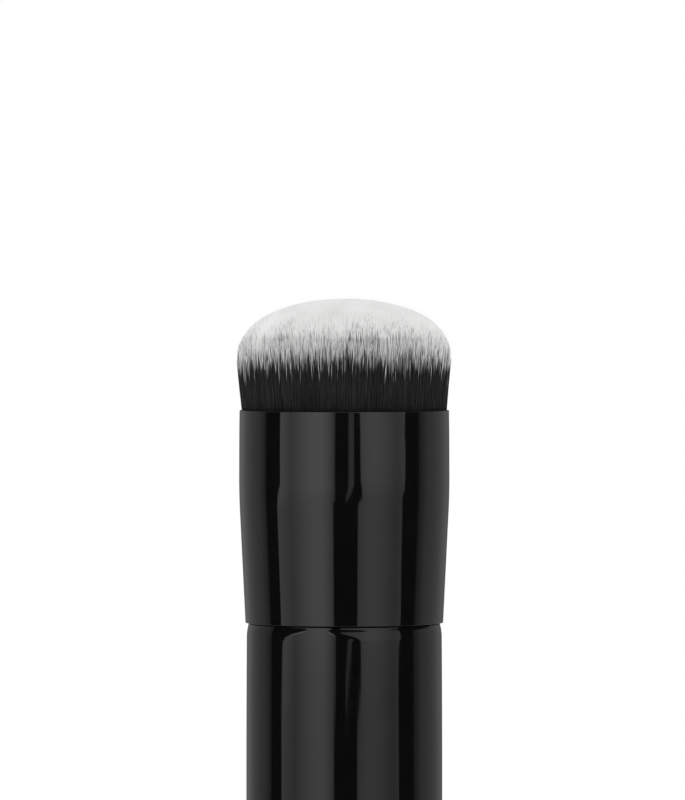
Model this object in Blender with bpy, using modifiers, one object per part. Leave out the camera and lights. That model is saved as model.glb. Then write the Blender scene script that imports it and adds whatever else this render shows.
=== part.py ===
"""Domed foundation brush with a lacquered ferrule and a weighted barrel handle.

Standalone Blender 4.5 script: blender --background --python part.py
Metres, +Z up. The origin is the centre of the base that the brush stands on, and +Z runs up the
brush's axis to the crown of the bristles. Radii are measured from that axis.
"""

import math
import random

import bmesh
import bpy
from mathutils import Matrix

# Clearance between a piece and what it seats on.
SEAT_GAP = 0.0003
# How far a rib reaches into the wall that it is moulded with.
RIB_ROOT = 0.0004
# Points of a turned piece that lie closer together than this are one point.
MERGE_DISTANCE = 0.00001

# Ferrule: a drawn aluminium tube, widest at its belly and drawn in to its foot.
FERRULE_HEIGHT = 0.0354
FERRULE_RADIUS = 0.0175
FERRULE_WALL = 0.00035
BELLY_DEPTH = 0.0140
BELLY_BLEND_RADIUS = 0.1000
MOUTH_DRAW_IN = 0.00007
FOOT_DRAW_IN = 0.00106
LIP_RADIUS = 0.00012

# Handle: a moulded barrel, closed at its base. Its neck is set in from the ferrule's foot.
HANDLE_LENGTH = 0.0660
NECK_SET_IN = 0.00022
BARREL_TAPER = 0.00012
BARREL_SWELL = 0.00013
SHOULDER_SET_IN = 0.00032
SHOULDER_DEPTH = 0.0023
HANDLE_WALL = 0.0022
HANDLE_FLOOR = 0.0030
BORE_CORNER_RADIUS = 0.0008
BASE_EDGE_RADIUS = 0.0018
BASE_RING_WIDTH = 0.0056
BASE_DISH_DEPTH = 0.0006
BASE_DISH_SLOPE = 0.0010

# Weight pocket: a ring on the handle's floor, ribbed to its wall, round the weight and its pad.
POCKET_RIB_LENGTH = 0.0022
POCKET_RIB_THICKNESS = 0.0010
POCKET_WALL = 0.0012
POCKET_HEIGHT = 0.0060
POCKET_LEAD_IN = 0.0005
WEIGHT_HEIGHT = 0.0120
WEIGHT_CHAMFER = 0.0008
PAD_THICKNESS = 0.0015
PAD_SET_IN = 0.0006

# Tenon insert: a skirt down into the handle, and a capped tenon up into the ferrule.
INSERT_WALL = 0.0022
TENON_CAP = 0.0022
TENON_CHAMFER = 0.0010
SKIRT_DEPTH = 0.0140
SKIRT_CHAMFER = 0.0008
GUSSET_LENGTH = 0.0040
GUSSET_THICKNESS = 0.0012

# Glue grooves round the insert, each at the middle of its side.
TENON_GROOVE_WIDTH = 0.0030
TENON_GROOVE_DEPTH = 0.0006
SKIRT_GROOVE_WIDTH = 0.0026
SKIRT_GROOVE_DEPTH = 0.0008

# Roots of the bristles: the glued knot, the band round it and the resin cast under it.
KNOT_DEPTH = 0.0050
KNOT_HEIGHT = 0.0070
BAND_DROP = 0.0015
BAND_WIDTH = 0.0040
RESIN_THICKNESS = 0.0035
RESIN_RIM = 0.0010
RESIN_DISH_DEPTH = 0.0008

# Bristles above the mouth: they spread to their widest level, and the dome rises from there.
SPREAD = 0.0014
WIDEST_HEIGHT = 0.00835
DOME_HEIGHT = 0.01035
STRAND_GAP = 0.00026

# Counts, shares and a power, none of them a length.
ROUND_STEPS = 48
ARC_STEPS = 3
SHOULDER_STEPS = 5
BARREL_STEPS = 5
POCKET_RIBS = 6
GUSSETS = 6
STRAND_ROWS = 18
UNEVEN_SHARE = 0.17
DOME_POWER = 2.2
FILLET_LIMIT_SHARE = 0.45
DYE_LINE_SHARE = 0.8
DYE_SCATTER_SHARE = 0.15
TIP_WIDTH_SHARE = 0.9
SCATTER_SEED = 7
WHORL_ANGLE = math.radians(24)
SHARP_ANGLE = math.radians(30)


def blend(start, end, share):
    """The value that lies this share of the way from start to end."""
    return start + (end - start) * share


# Levels up the brush.
FERRULE_FOOT_Z = HANDLE_LENGTH + SEAT_GAP
MOUTH_Z = FERRULE_FOOT_Z + FERRULE_HEIGHT
BELLY_Z = MOUTH_Z - BELLY_DEPTH
WIDEST_Z = MOUTH_Z + WIDEST_HEIGHT
KNOT_TOP_Z = MOUTH_Z - KNOT_DEPTH
KNOT_FOOT_Z = KNOT_TOP_Z - KNOT_HEIGHT
BAND_TOP_Z = KNOT_TOP_Z - BAND_DROP
RESIN_TOP_Z = KNOT_FOOT_Z - SEAT_GAP
RESIN_FOOT_Z = RESIN_TOP_Z - RESIN_THICKNESS
TENON_TOP_Z = RESIN_FOOT_Z - SEAT_GAP
LEDGE_Z = HANDLE_LENGTH + SEAT_GAP
SKIRT_FOOT_Z = LEDGE_Z - SKIRT_DEPTH
TENON_GROOVE_Z = (TENON_TOP_Z + LEDGE_Z) / 2
SKIRT_GROOVE_Z = (LEDGE_Z + SKIRT_FOOT_Z) / 2
NECK_Z = HANDLE_LENGTH - SHOULDER_DEPTH
POCKET_TOP_Z = HANDLE_FLOOR + POCKET_HEIGHT
PAD_FOOT_Z = HANDLE_FLOOR + SEAT_GAP
PAD_TOP_Z = PAD_FOOT_Z + PAD_THICKNESS
WEIGHT_FOOT_Z = PAD_TOP_Z + SEAT_GAP

# Radii of the ferrule, and of what lines up with it or fits in it.
MOUTH_RADIUS = FERRULE_RADIUS - MOUTH_DRAW_IN
FOOT_RADIUS = FERRULE_RADIUS - FOOT_DRAW_IN
NECK_RADIUS = FOOT_RADIUS - NECK_SET_IN
BASE_RADIUS = NECK_RADIUS - BARREL_TAPER
RIM_RADIUS = NECK_RADIUS - SHOULDER_SET_IN
HANDLE_BORE = RIM_RADIUS - HANDLE_WALL
POCKET_RADIUS = HANDLE_BORE - POCKET_RIB_LENGTH
POCKET_BORE = POCKET_RADIUS - POCKET_WALL
WEIGHT_RADIUS = POCKET_BORE - SEAT_GAP
SKIRT_RADIUS = HANDLE_BORE - SEAT_GAP
SKIRT_BORE = SKIRT_RADIUS - INSERT_WALL
TENON_RADIUS = FOOT_RADIUS - FERRULE_WALL - SEAT_GAP
TENON_BORE = TENON_RADIUS - INSERT_WALL

# Radii of the bristles. Each side strand is straight from the knot, past the mouth, to its widest.
BUNDLE_RADIUS = MOUTH_RADIUS - FERRULE_WALL - SEAT_GAP
WIDEST_RADIUS = BUNDLE_RADIUS + SPREAD
KNOT_RADIUS = BUNDLE_RADIUS - SPREAD * KNOT_DEPTH / WIDEST_HEIGHT


def material(name, colour, roughness, metallic):
    """A Principled BSDF in one colour."""
    made = bpy.data.materials.new(name)
    made.use_nodes = True
    shader = made.node_tree.nodes["Principled BSDF"]
    shader.inputs["Base Color"].default_value = (*colour, 1)
    shader.inputs["Roughness"].default_value = roughness
    shader.inputs["Metallic"].default_value = metallic
    made.diffuse_color = (*colour, 1)
    return made


def collection(name):
    """A collection in the scene."""
    made = bpy.data.collections.new(name)
    bpy.context.scene.collection.children.link(made)
    return made


def arc_in_corner(before, corner, after, radius):
    """Points along the arc that rounds a corner. It never takes up more than its share of a leg."""
    legs = []
    for end in (before, after):
        length = math.dist(end, corner)
        legs.append(((end[0] - corner[0]) / length, (end[1] - corner[1]) / length, length))
    (ax, az, a_length), (bx, bz, b_length) = legs
    half_angle = math.acos(max(-1, min(1, ax * bx + az * bz))) / 2
    longest_reach = FILLET_LIMIT_SHARE * min(a_length, b_length)
    reach = min(radius / math.tan(half_angle), longest_reach)
    radius = reach * math.tan(half_angle)
    out = radius / math.sin(half_angle) / math.hypot(ax + bx, az + bz)
    centre = (corner[0] + (ax + bx) * out, corner[1] + (az + bz) * out)
    start = math.atan2(corner[1] + az * reach - centre[1], corner[0] + ax * reach - centre[0])
    end = math.atan2(corner[1] + bz * reach - centre[1], corner[0] + bx * reach - centre[0])
    turn = math.remainder(end - start, math.tau)
    angles = [start + turn * step / ARC_STEPS for step in range(ARC_STEPS + 1)]
    return [(centre[0] + radius * math.cos(a), centre[1] + radius * math.sin(a)) for a in angles]


def rounded(corners):
    """The outline through corners of (radius, height) or (radius, height, fillet radius)."""
    points = []
    for index, corner in enumerate(corners):
        if len(corner) == 2:
            points.append(corner)
            continue
        before = corners[index - 1][:2]
        after = corners[(index + 1) % len(corners)][:2]
        points += arc_in_corner(before, corner[:2], after, corner[2])
    return points


def turned(name, outline, finish):
    """A round piece, spun about Z from an outline that runs down its outer side.

    An outline that starts on the axis also ends there. Any other is closed into a ring.
    """
    count = len(outline)
    edges = [(index, index + 1) for index in range(count - 1)]
    if outline[0][0]:
        edges.append((count - 1, 0))
    mesh = bpy.data.meshes.new(name)
    mesh.from_pydata([(radius, 0, height) for radius, height in outline], edges, [])
    piece = bpy.data.objects.new(name, mesh)
    BRUSH.objects.link(piece)
    mesh.materials.append(finish)
    screw = piece.modifiers.new("Turn", "SCREW")
    screw.steps = ROUND_STEPS
    screw.render_steps = ROUND_STEPS
    screw.use_merge_vertices = True
    screw.merge_threshold = MERGE_DISTANCE
    return piece


def add_ribs(piece, name, count, radii, levels, thickness):
    """Joins upright ribs to a piece. They stand like spokes between two radii and two levels."""
    inner, outer = radii
    foot, top = levels
    size = Matrix.Diagonal((outer - inner, thickness, top - foot, 1))
    place = Matrix.Translation(((inner + outer) / 2, 0, (foot + top) / 2))
    build = bmesh.new()
    for index in range(count):
        turn = Matrix.Rotation(math.tau * index / count, 4, "Z")
        bmesh.ops.create_cube(build, size=1, matrix=turn @ place @ size)
    mesh = bpy.data.meshes.new(name)
    build.to_mesh(mesh)
    build.free()
    ribs = bpy.data.objects.new(name, mesh)
    ribs.hide_render = True
    ribs.display_type = "WIRE"
    SHAPERS.objects.link(ribs)
    union = piece.modifiers.new("Ribs", "BOOLEAN")
    union.operation = "UNION"
    union.object = ribs


def shade_round(piece):
    """Makes the modifiers' result the piece's own mesh, smooth but for its sharp edges."""
    graph = bpy.context.evaluated_depsgraph_get()
    mesh = bpy.data.meshes.new_from_object(piece.evaluated_get(graph))
    piece.modifiers.clear()
    piece.data = mesh
    mesh.shade_smooth()
    mesh.set_sharp_from_angle(angle=SHARP_ANGLE)


def ferrule_bore(height):
    """Inner radius of the ferrule at a level, on the straight lines that its outline follows."""
    if height >= BELLY_Z:
        outer = blend(FERRULE_RADIUS, MOUTH_RADIUS, (height - BELLY_Z) / BELLY_DEPTH)
    else:
        outer = blend(
            FOOT_RADIUS, FERRULE_RADIUS, (height - FERRULE_FOOT_Z) / (BELLY_Z - FERRULE_FOOT_Z)
        )
    return outer - FERRULE_WALL


def make_ferrule(finish):
    """The drawn tube, one wall thickness from mouth to foot, with its outer edges rounded."""
    ferrule = turned(
        "ferrule",
        rounded(
            [
                (MOUTH_RADIUS, MOUTH_Z, LIP_RADIUS),
                (FERRULE_RADIUS, BELLY_Z, BELLY_BLEND_RADIUS),
                (FOOT_RADIUS, FERRULE_FOOT_Z, LIP_RADIUS),
                (FOOT_RADIUS - FERRULE_WALL, FERRULE_FOOT_Z),
                (FERRULE_RADIUS - FERRULE_WALL, BELLY_Z, BELLY_BLEND_RADIUS - FERRULE_WALL),
                (MOUTH_RADIUS - FERRULE_WALL, MOUTH_Z, LIP_RADIUS),
            ]
        ),
        finish,
    )
    shade_round(ferrule)


def shoulder():
    """The shoulder from rim to neck: upright at the neck, and turning in under the ferrule."""
    shares = [1 - step / SHOULDER_STEPS for step in range(SHOULDER_STEPS + 1)]
    return [
        (NECK_RADIUS - SHOULDER_SET_IN * share**2, NECK_Z + SHOULDER_DEPTH * share)
        for share in shares
    ]


def barrel():
    """The side from neck to base, a slight taper with a slighter swell at its middle."""
    points = []
    for step in range(1, BARREL_STEPS):
        share = step / BARREL_STEPS
        swell = BARREL_SWELL * 4 * share * (1 - share)
        points.append(
            (
                blend(NECK_RADIUS, BASE_RADIUS, share) + swell,
                blend(NECK_Z, BASE_EDGE_RADIUS, share),
            )
        )
    return points


def make_handle(finish):
    """The moulded barrel, from its inner floor up the bore, over the rim and down to the base."""
    dish_radius = BASE_RADIUS - BASE_RING_WIDTH
    handle = turned(
        "handle",
        rounded(
            [
                (0, HANDLE_FLOOR),
                (POCKET_BORE, HANDLE_FLOOR),
                (POCKET_BORE, POCKET_TOP_Z - POCKET_LEAD_IN),
                (POCKET_BORE + POCKET_LEAD_IN, POCKET_TOP_Z),
                (POCKET_RADIUS, POCKET_TOP_Z),
                (POCKET_RADIUS, HANDLE_FLOOR),
                (HANDLE_BORE, HANDLE_FLOOR, BORE_CORNER_RADIUS),
                (HANDLE_BORE, HANDLE_LENGTH),
                *shoulder(),
                *barrel(),
                (BASE_RADIUS, 0, BASE_EDGE_RADIUS),
                (dish_radius, 0),
                (dish_radius - BASE_DISH_SLOPE, BASE_DISH_DEPTH),
                (0, BASE_DISH_DEPTH),
            ]
        ),
        finish,
    )
    add_ribs(
        handle,
        "pocket_ribs",
        POCKET_RIBS,
        (POCKET_RADIUS - RIB_ROOT, HANDLE_BORE + RIB_ROOT),
        (HANDLE_FLOOR - RIB_ROOT, POCKET_TOP_Z - POCKET_LEAD_IN),
        POCKET_RIB_THICKNESS,
    )
    shade_round(handle)


def make_balance_weight(finish):
    """A turned steel slug with chamfered ends, standing in the pocket."""
    top = WEIGHT_FOOT_Z + WEIGHT_HEIGHT
    weight = turned(
        "balance_weight",
        [
            (0, top),
            (WEIGHT_RADIUS - WEIGHT_CHAMFER, top),
            (WEIGHT_RADIUS, top - WEIGHT_CHAMFER),
            (WEIGHT_RADIUS, WEIGHT_FOOT_Z + WEIGHT_CHAMFER),
            (WEIGHT_RADIUS - WEIGHT_CHAMFER, WEIGHT_FOOT_Z),
            (0, WEIGHT_FOOT_Z),
        ],
        finish,
    )
    shade_round(weight)


def make_weight_pad(finish):
    """The adhesive foam disc that holds the weight to the handle's floor."""
    radius = WEIGHT_RADIUS - PAD_SET_IN
    pad = turned(
        "weight_pad",
        [(0, PAD_TOP_Z), (radius, PAD_TOP_Z), (radius, PAD_FOOT_Z), (0, PAD_FOOT_Z)],
        finish,
    )
    shade_round(pad)


def groove(radius, level, width, depth):
    """The outline of a groove in an outer side, from its top edge down to its lower edge."""
    top = level + width / 2
    foot = level - width / 2
    return [(radius, top), (radius - depth, top), (radius - depth, foot), (radius, foot)]


def make_tenon_insert(finish):
    """The moulding that joins head to handle, hollow below its cap and stiffened by gussets."""
    insert = turned(
        "tenon_insert",
        [
            (0, TENON_TOP_Z),
            (TENON_RADIUS - TENON_CHAMFER, TENON_TOP_Z),
            (TENON_RADIUS, TENON_TOP_Z - TENON_CHAMFER),
            *groove(TENON_RADIUS, TENON_GROOVE_Z, TENON_GROOVE_WIDTH, TENON_GROOVE_DEPTH),
            (TENON_RADIUS, LEDGE_Z),
            (SKIRT_RADIUS, LEDGE_Z),
            *groove(SKIRT_RADIUS, SKIRT_GROOVE_Z, SKIRT_GROOVE_WIDTH, SKIRT_GROOVE_DEPTH),
            (SKIRT_RADIUS, SKIRT_FOOT_Z + SKIRT_CHAMFER),
            (SKIRT_RADIUS - SKIRT_CHAMFER, SKIRT_FOOT_Z),
            (SKIRT_BORE, SKIRT_FOOT_Z),
            (SKIRT_BORE, LEDGE_Z),
            (TENON_BORE, LEDGE_Z + INSERT_WALL),
            (TENON_BORE, TENON_TOP_Z - TENON_CAP),
            (0, TENON_TOP_Z - TENON_CAP),
        ],
        finish,
    )
    add_ribs(
        insert,
        "insert_gussets",
        GUSSETS,
        (TENON_BORE - GUSSET_LENGTH, TENON_BORE + RIB_ROOT),
        (LEDGE_Z + INSERT_WALL, TENON_TOP_Z - TENON_CAP + RIB_ROOT),
        GUSSET_THICKNESS,
    )
    shade_round(insert)


def make_band(name, inner, wall_at, top, foot, finish):
    """A ring between an inner piece and a wall around it, whose outer side follows that wall."""
    band = turned(
        name,
        [
            (wall_at(top) - SEAT_GAP, top),
            (wall_at(foot) - SEAT_GAP, foot),
            (inner + SEAT_GAP, foot),
            (inner + SEAT_GAP, top),
        ],
        finish,
    )
    shade_round(band)


def make_glue_bands(finish):
    """The cured glue in the tenon's groove and in the skirt's."""
    tenon_reach = TENON_GROOVE_WIDTH / 2 - SEAT_GAP
    make_band(
        "ferrule_glue_band",
        TENON_RADIUS - TENON_GROOVE_DEPTH,
        ferrule_bore,
        TENON_GROOVE_Z + tenon_reach,
        TENON_GROOVE_Z - tenon_reach,
        finish,
    )
    skirt_reach = SKIRT_GROOVE_WIDTH / 2 - SEAT_GAP
    make_band(
        "handle_glue_band",
        SKIRT_RADIUS - SKIRT_GROOVE_DEPTH,
        lambda height: HANDLE_BORE,
        SKIRT_GROOVE_Z + skirt_reach,
        SKIRT_GROOVE_Z - skirt_reach,
        finish,
    )


def make_knot_band(finish):
    """The elastic band that keeps the roots together and centres them in the ferrule."""
    make_band(
        "knot_band", KNOT_RADIUS, ferrule_bore, BAND_TOP_Z, BAND_TOP_Z - BAND_WIDTH, finish
    )


def make_resin_plug(finish):
    """The resin cast under the roots, up to the ferrule's wall, with a hollow in its underside."""
    foot_radius = ferrule_bore(RESIN_FOOT_Z) - SEAT_GAP
    plug = turned(
        "resin_plug",
        [
            (0, RESIN_TOP_Z),
            (ferrule_bore(RESIN_TOP_Z) - SEAT_GAP, RESIN_TOP_Z),
            (foot_radius, RESIN_FOOT_Z),
            (foot_radius - RESIN_RIM, RESIN_FOOT_Z),
            (0, RESIN_FOOT_Z + RESIN_DISH_DEPTH),
        ],
        finish,
    )
    shade_round(plug)


def to_disc(x, y):
    """Maps a square that reaches from -1 to 1 on to a unit disc, its rings of cells made round.

    The whorl turns the rim against the centre, so that no gap runs straight through the bundle.
    """
    ring = max(abs(x), abs(y))
    if ring == 0:
        return 0, 0
    if abs(x) >= abs(y):
        angle = math.atan2(0, x) + math.pi / 4 * y / x
    else:
        angle = math.atan2(y, 0) - math.pi / 4 * x / y
    angle += WHORL_ANGLE * ring
    return ring * math.cos(angle), ring * math.sin(angle)


def bundle_radius(height):
    """Outer radius of the bundle, which spreads evenly from the knot up to its widest level."""
    share = (height - KNOT_TOP_Z) / (WIDEST_Z - KNOT_TOP_Z)
    return blend(KNOT_RADIUS, WIDEST_RADIUS, min(1, share))


def dome_level(radius):
    """Level of the dome's surface at a radius, on a superellipse above the widest level."""
    share = min(1, radius / WIDEST_RADIUS)
    return WIDEST_Z + DOME_HEIGHT * (1 - share**DOME_POWER) ** (1 / DOME_POWER)


def root_slice(build, scatter):
    """The glued slice of the knot. Its top is a round grid, and each cell there is a strand's root.

    The grid is uneven but for its rim, because the tufts of a real bundle crowd each other.
    """
    bmesh.ops.create_grid(build, x_segments=STRAND_ROWS, y_segments=STRAND_ROWS, size=1)
    most = UNEVEN_SHARE * 2 / STRAND_ROWS
    for vert in build.verts:
        if not vert.is_boundary:
            vert.co.x += scatter.uniform(-most, most)
            vert.co.y += scatter.uniform(-most, most)
        x, y = to_disc(vert.co.x, vert.co.y)
        vert.co = (x * KNOT_RADIUS, y * KNOT_RADIUS, KNOT_TOP_Z)
    roots = list(build.faces)
    rim = [edge for edge in build.edges if edge.is_boundary]
    side = bmesh.ops.extrude_edge_only(build, edges=rim)["geom"]
    for vert in side:
        if isinstance(vert, bmesh.types.BMVert):
            vert.co.z = KNOT_FOOT_Z
    open_edges = [edge for edge in build.edges if edge.is_boundary]
    bmesh.ops.edgeloop_fill(build, edges=open_edges)
    bmesh.ops.recalc_face_normals(build, faces=build.faces)
    return roots


def raise_to_dye_line(end, level):
    """Lifts a strand's end from its root to the level where its dye stops."""
    spread = bundle_radius(level) / KNOT_RADIUS
    for vert in end.verts:
        vert.co = (vert.co.x * spread, vert.co.y * spread, level)


def raise_to_dome(end):
    """Lifts a strand's end from its dye line to the dome, narrowing it towards its tip."""
    centre = end.calc_center_median()
    spread = WIDEST_RADIUS / bundle_radius(centre.z)
    centre *= spread
    for vert in end.verts:
        x = blend(centre.x, vert.co.x * spread, TIP_WIDTH_SHARE)
        y = blend(centre.y, vert.co.y * spread, TIP_WIDTH_SHARE)
        vert.co = (x, y, dome_level(math.hypot(x, y)))


def make_bristles(dark, pale):
    """The bristles as one body: strands that each stand for a tuft, on their slice of the knot.

    The cells of the slice's top are inset, which parts them, and then drawn up twice: dark to the
    dye line, whose level varies from strand to strand, and pale from there to the dome.
    """
    build = bmesh.new()
    scatter = random.Random(SCATTER_SEED)
    roots = root_slice(build, scatter)
    bmesh.ops.inset_individual(
        build, faces=roots, thickness=STRAND_GAP / 2, use_even_offset=True
    )
    ends = bmesh.ops.extrude_discrete_faces(build, faces=roots)["faces"]
    for end in ends:
        uneven = scatter.uniform(-DYE_SCATTER_SHARE, DYE_SCATTER_SHARE)
        raise_to_dye_line(end, MOUTH_Z + WIDEST_HEIGHT * (DYE_LINE_SHARE + uneven))
        end.material_index = 1
    for tip in bmesh.ops.extrude_discrete_faces(build, faces=ends)["faces"]:
        raise_to_dome(tip)
    mesh = bpy.data.meshes.new("bristles")
    build.to_mesh(mesh)
    build.free()
    mesh.materials.append(dark)
    mesh.materials.append(pale)
    BRUSH.objects.link(bpy.data.objects.new("bristles", mesh))


for leftover in list(bpy.data.objects):
    bpy.data.objects.remove(leftover)

BRUSH = collection("foundation_brush")
SHAPERS = collection("shaping_helpers")

# Colours and finishes, read from the photograph where they show.
make_bristles(
    material("dyed_black_fibre", (0.014, 0.014, 0.014), 0.5, 0),
    material("pale_fibre_tip", (0.78, 0.78, 0.77), 0.55, 0),
)
make_knot_band(material("tan_elastic", (0.46, 0.30, 0.17), 0.6, 0))
make_resin_plug(material("amber_resin", (0.42, 0.27, 0.10), 0.25, 0))
make_ferrule(material("black_lacquer", (0.006, 0.006, 0.006), 0.06, 0))
make_glue_bands(material("cured_glue", (0.70, 0.68, 0.60), 0.35, 0))
make_tenon_insert(material("moulded_grey", (0.10, 0.10, 0.105), 0.45, 0))
make_handle(material("gloss_black_moulding", (0.005, 0.005, 0.005), 0.08, 0))
make_balance_weight(material("turned_steel", (0.52, 0.52, 0.53), 0.35, 1))
make_weight_pad(material("pale_foam", (0.80, 0.79, 0.74), 0.9, 0))
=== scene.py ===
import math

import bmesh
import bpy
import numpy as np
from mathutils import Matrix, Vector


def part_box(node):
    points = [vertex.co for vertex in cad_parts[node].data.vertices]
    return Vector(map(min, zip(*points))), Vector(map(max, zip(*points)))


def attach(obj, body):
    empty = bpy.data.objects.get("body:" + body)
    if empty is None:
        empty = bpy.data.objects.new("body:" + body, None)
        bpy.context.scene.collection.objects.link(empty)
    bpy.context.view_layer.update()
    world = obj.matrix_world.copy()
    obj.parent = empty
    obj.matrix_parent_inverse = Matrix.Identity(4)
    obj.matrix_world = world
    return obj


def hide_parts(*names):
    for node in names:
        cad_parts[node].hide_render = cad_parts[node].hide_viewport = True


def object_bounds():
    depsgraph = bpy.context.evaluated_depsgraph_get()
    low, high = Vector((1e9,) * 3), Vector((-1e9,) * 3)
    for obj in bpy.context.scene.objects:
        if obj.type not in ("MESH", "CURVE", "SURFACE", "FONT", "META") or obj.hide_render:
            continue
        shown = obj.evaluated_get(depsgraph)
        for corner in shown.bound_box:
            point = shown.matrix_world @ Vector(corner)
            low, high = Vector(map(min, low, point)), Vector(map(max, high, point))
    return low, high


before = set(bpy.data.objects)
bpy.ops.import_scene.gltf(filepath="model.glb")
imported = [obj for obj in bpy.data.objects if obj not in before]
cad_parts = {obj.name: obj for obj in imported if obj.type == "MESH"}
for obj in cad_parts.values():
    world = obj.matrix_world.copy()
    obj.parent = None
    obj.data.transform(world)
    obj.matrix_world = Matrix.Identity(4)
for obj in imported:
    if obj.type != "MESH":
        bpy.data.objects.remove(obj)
# %% [markdown]
# # A domed foundation brush
#
# The imported model is loaded as a fixed frame. It holds every piece at its real size, as plain
# facets. This lesson gives the pieces that show a fine surface, fills the bristle head with
# fibres, and lights it all like a product photograph. The box of the frame is printed, and the
# floor is laid just under it.

MILLIMETRES = 1000


def box_sides(low, high):
    """The three sides of a box, in millimetres."""
    return [round((b - a) * MILLIMETRES, 2) for a, b in zip(low, high)]


cad_low, cad_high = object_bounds()
print("frame, in millimetres:", box_sides(cad_low, cad_high))
print("nodes:", sorted(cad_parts))

# %% [markdown]
# ## The camera
#
# The photograph was taken from about a metre and a half with a long lens, a little above the
# ferrule and tilted down by one degree: the mouth and the foot of the ferrule curve by so little
# that the camera can't have been closer. A long lens also keeps the two sides of the barrel
# parallel. The image is 685 by 800 pixels, so the sensor's width lies along its height.

# %% Camera
IMAGE_HEIGHT = 800
PIXEL = 0.000167
CAMERA_DISTANCE = 1.445
CAMERA_HEIGHT = 0.1294
CAMERA_SIDE = -0.0003
AIM_HEIGHT = 0.1034
SENSOR = 36
CLIP_START = 0.01

camera_data = bpy.data.cameras.new("camera")
camera = bpy.data.objects.new("camera", camera_data)
bpy.context.scene.collection.objects.link(camera)
camera.location = (CAMERA_SIDE, -CAMERA_DISTANCE, CAMERA_HEIGHT)
sight = Vector((0, CAMERA_DISTANCE, AIM_HEIGHT - CAMERA_HEIGHT))
camera.rotation_euler = sight.to_track_quat("-Z", "Y").to_euler()
camera_data.sensor_width = SENSOR
camera_data.lens = SENSOR * sight.length / (IMAGE_HEIGHT * PIXEL)
camera_data.clip_start = CLIP_START
bpy.context.scene.camera = camera
bpy.context.scene.view_settings.view_transform = "Standard"
print("lens, in millimetres:", round(camera_data.lens, 1))

# %% [markdown]
# ## Small helpers for shader nodes
#
# Every finish below is a little tree of nodes. Adding a node, setting its options and wiring its
# sockets takes many lines when it is spelled out, so one helper does the three together. More
# helpers follow where they are first needed.

# %% Helpers for shader nodes
def add(tree, kind, sockets=None, **options):
    """Adds a node. A socket is given a value, or the output that it is wired to."""
    made = tree.nodes.new(kind)
    for name, value in options.items():
        setattr(made, name, value)
    for name, value in (sockets or {}).items():
        if isinstance(value, bpy.types.NodeSocket):
            tree.links.new(value, made.inputs[name])
        else:
            made.inputs[name].default_value = value
    return made


def bare_tree(owner):
    """The node tree of a material or a world, emptied."""
    owner.use_nodes = True
    owner.node_tree.nodes.clear()
    return owner.node_tree


# %% [markdown]
# ## The studio
#
# Gloss black shows little but what stands round it, so the studio is what makes the ferrule look
# like lacquer. Two tall bent panels of light stand left and right of the camera, brighter in some
# places than in others, with a narrow strip of light just right of the camera, black wall between
# and beyond them, and a grey wall behind the brush, which gives its two sides their pale rims. A
# point of the barrel at the angle a from the camera shows what stands at twice that angle, so each
# edge in the photograph gives the place of a panel's edge. The panels are meshes, because a lamp
# can't be brighter on one side. None of them shows to the camera.

# %% Helpers for panels
def at_azimuth(degrees, distance, height):
    """A point round the brush. Zero is towards the camera, and +X is at 90 degrees."""
    angle = math.radians(degrees)
    return Vector((distance * math.sin(angle), -distance * math.cos(angle), height))


def unseen(panel):
    """A panel of the studio lights the brush and shows in its gloss, but not to the camera."""
    panel.visible_camera = False


def glow(name):
    """Light whose strength is read from the points of a panel."""
    material = bpy.data.materials.new(name)
    tree = bare_tree(material)
    strength = add(tree, "ShaderNodeAttribute", attribute_name="light").outputs["Fac"]
    shine = add(tree, "ShaderNodeEmission", {"Strength": strength})
    add(tree, "ShaderNodeOutputMaterial", {"Surface": shine.outputs[0]})
    return material


# %% Helper: a bent panel
PANEL_STEP = 0.25


def along(columns, values):
    """The value at each column, from a list of (azimuth, value) or one number for all."""
    if isinstance(values, list):
        return np.interp(columns, *zip(*values))
    return np.full(len(columns), values)


def bent_panel(name, radius, foot, top, light, material, foot_share=1.0):
    """A panel bent round the brush.

    Its foot and its top are plain heights or lists of (azimuth, height), and its light is a list
    of (azimuth, strength), straight from one to the next. Along its foot the light is a share of
    what it is along its top.
    """
    start, end = light[0][0], light[-1][0]
    columns = np.linspace(start, end, round((end - start) / PANEL_STEP) + 1)
    feet = along(columns, foot)
    tops = np.maximum(along(columns, top), feet)
    strengths = along(columns, light)
    points = [at_azimuth(azimuth, radius, height) for azimuth, height in zip(columns, feet)]
    points += [at_azimuth(azimuth, radius, height) for azimuth, height in zip(columns, tops)]
    count = len(columns)
    faces = [(i, i + 1, count + i + 1, count + i) for i in range(count - 1)]
    mesh = bpy.data.meshes.new(name)
    mesh.from_pydata(points, [], faces)
    mesh.attributes.new("light", "FLOAT", "POINT").data.foreach_set(
        "value", np.concatenate([strengths * foot_share, strengths]).astype(np.float32)
    )
    mesh.materials.append(material)
    panel = bpy.data.objects.new(name, mesh)
    bpy.context.scene.collection.objects.link(panel)
    unseen(panel)
    print(f"{name}: {start} to {end} degrees round the brush")
    return panel


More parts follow.
